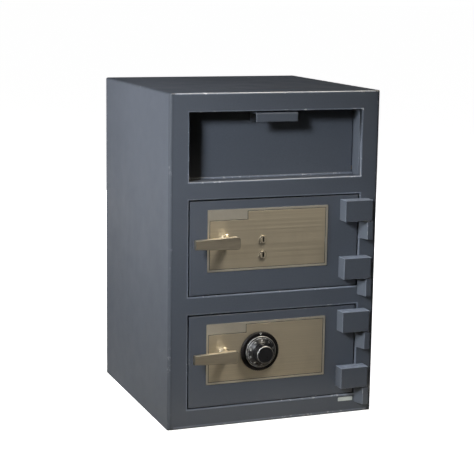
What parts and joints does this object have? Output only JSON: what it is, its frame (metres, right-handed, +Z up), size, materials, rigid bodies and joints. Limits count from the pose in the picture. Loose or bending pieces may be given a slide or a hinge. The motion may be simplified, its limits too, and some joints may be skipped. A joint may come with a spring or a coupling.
{
  "type": "two-door drop safe",
  "caption": "Floor-standing depository safe with a recessed tilting deposit hopper over two hinged steel doors, one with key locks and one with a combination dial.",
  "frame": {"origin": "middle of the cabinet's underside, on the floor", "axes": "+Z up, -Y out of the doors towards the user, +X to the user's right, the hinge side"},
  "size_m": [0.508, 0.55, 0.762],
  "materials": {
    "grey_paint": "satin slate-grey powder coat with a fine texture",
    "nickel": "brushed warm nickel plate",
    "polished_nickel": "satin nickel plate",
    "bare_steel": "machined bright steel",
    "zinc_plate": "zinc-plated steel",
    "black_enamel": "gloss black enamel",
    "bronze": "sintered bronze",
    "rubber": "matt black rubber"
  },
  "bodies": {
    "cabinet": {"side_plate_left": "grey_paint", "side_plate_right": "grey_paint", "top_plate": "grey_paint", "back_plate": "grey_paint", "bottom_plate": "grey_paint", "frame_stile_left": "grey_paint", "frame_stile_right": "grey_paint", "frame_top_rail": "grey_paint", "frame_hopper_rail": "grey_paint", "frame_middle_rail": "grey_paint", "frame_bottom_rail": "grey_paint", "compartment_shelf": "grey_paint", "recess_jamb_left": "grey_paint", "recess_jamb_right": "grey_paint", "recess_sill": "grey_paint", "recess_header": "grey_paint", "hopper_bushes": "bronze", "hopper_stops": "bare_steel", "hopper_bumpers": "rubber", "fishing_baffle": "bare_steel", "hinge_barrels": "grey_paint", "hinge_pins": "bare_steel"},
    "hopper": {"hopper_panel": "grey_paint", "hopper_cheeks": "grey_paint", "hopper_tray": "grey_paint", "hopper_grip": "grey_paint", "grip_screws": "bare_steel", "hopper_pivot_pins": "bare_steel"},
    "upper_door": {"upper_door_plate": "grey_paint", "upper_faceplate": "nickel", "upper_hinge_blocks": "grey_paint", "upper_dead_bar": "bare_steel", "upper_bolt_guide": "zinc_plate", "upper_lock_case": "zinc_plate", "upper_lock_cover": "zinc_plate", "upper_lever_collar": "polished_nickel"},
    "upper_lever": {"upper_lever": "polished_nickel", "upper_lever_spindle": "polished_nickel", "upper_crank": "zinc_plate"},
    "upper_boltwork": {"upper_bolt_bar": "zinc_plate", "upper_bolts": "bare_steel"},
    "key_top": {"key_nose_top": "polished_nickel"},
    "key_bottom": {"key_nose_bottom": "polished_nickel"},
    "lower_door": {"lower_door_plate": "grey_paint", "lower_faceplate": "nickel", "lower_hinge_blocks": "grey_paint", "lower_dead_bar": "bare_steel", "lower_bolt_guide": "zinc_plate", "lower_lock_case": "zinc_plate", "lower_lock_cover": "zinc_plate", "lower_lever_collar": "polished_nickel", "dial_ring": "black_enamel"},
    "lower_lever": {"lower_lever": "polished_nickel", "lower_lever_spindle": "polished_nickel", "lower_crank": "zinc_plate"},
    "lower_boltwork": {"lower_bolt_bar": "zinc_plate", "lower_bolts": "bare_steel"},
    "dial": {"dial": "black_enamel", "dial_spindle": "bare_steel", "dial_wheels": "bronze"}
  },
  "joints": [
    {"name": "hopper_tilt", "type": "hinge", "parent": "cabinet", "child": "hopper", "pos_m": [0, -0.1985, 0.579], "axis": [1, 0, 0], "range_deg": [0, 45]},
    {"name": "upper_door_swing", "type": "hinge", "parent": "cabinet", "child": "upper_door", "pos_m": [0.221, -0.268, 0.41625], "axis": [0, 0, 1], "range_deg": [0, 110]},
    {"name": "upper_lever_turn", "type": "hinge", "parent": "upper_door", "child": "upper_lever", "pos_m": [-0.12, -0.29, 0.43175], "axis": [0, -1, 0], "range_deg": [0, 90]},
    {"name": "upper_bolt_throw", "type": "slide", "parent": "upper_door", "child": "upper_boltwork", "axis": [-1, 0, 0], "range_m": [0, 0.025]},
    {"name": "lower_door_swing", "type": "hinge", "parent": "cabinet", "child": "lower_door", "pos_m": [0.221, -0.268, 0.15575], "axis": [0, 0, 1], "range_deg": [0, 110]},
    {"name": "lower_lever_turn", "type": "hinge", "parent": "lower_door", "child": "lower_lever", "pos_m": [-0.12, -0.29, 0.17125], "axis": [0, -1, 0], "range_deg": [0, 90]},
    {"name": "lower_bolt_throw", "type": "slide", "parent": "lower_door", "child": "lower_boltwork", "axis": [-1, 0, 0], "range_m": [0, 0.025]},
    {"name": "key_top_turn", "type": "hinge", "parent": "upper_door", "child": "key_top", "pos_m": [-0.031, -0.258, 0.43025], "axis": [0, 1, 0], "range_deg": [0, 90]},
    {"name": "key_bottom_turn", "type": "hinge", "parent": "upper_door", "child": "key_bottom", "pos_m": [-0.031, -0.258, 0.39475], "axis": [0, 1, 0], "range_deg": [0, 90]},
    {"name": "dial_spin", "type": "hinge", "parent": "lower_door", "child": "dial", "pos_m": [-0.036, -0.2586, 0.17125], "axis": [0, -1, 0], "continuous": true}
  ],
  "couplings": [
    {"joint": "upper_bolt_throw", "follows": "upper_lever_turn", "m_per_rad": 0.0159},
    {"joint": "lower_bolt_throw", "follows": "lower_lever_turn", "m_per_rad": 0.0159}
  ]
}
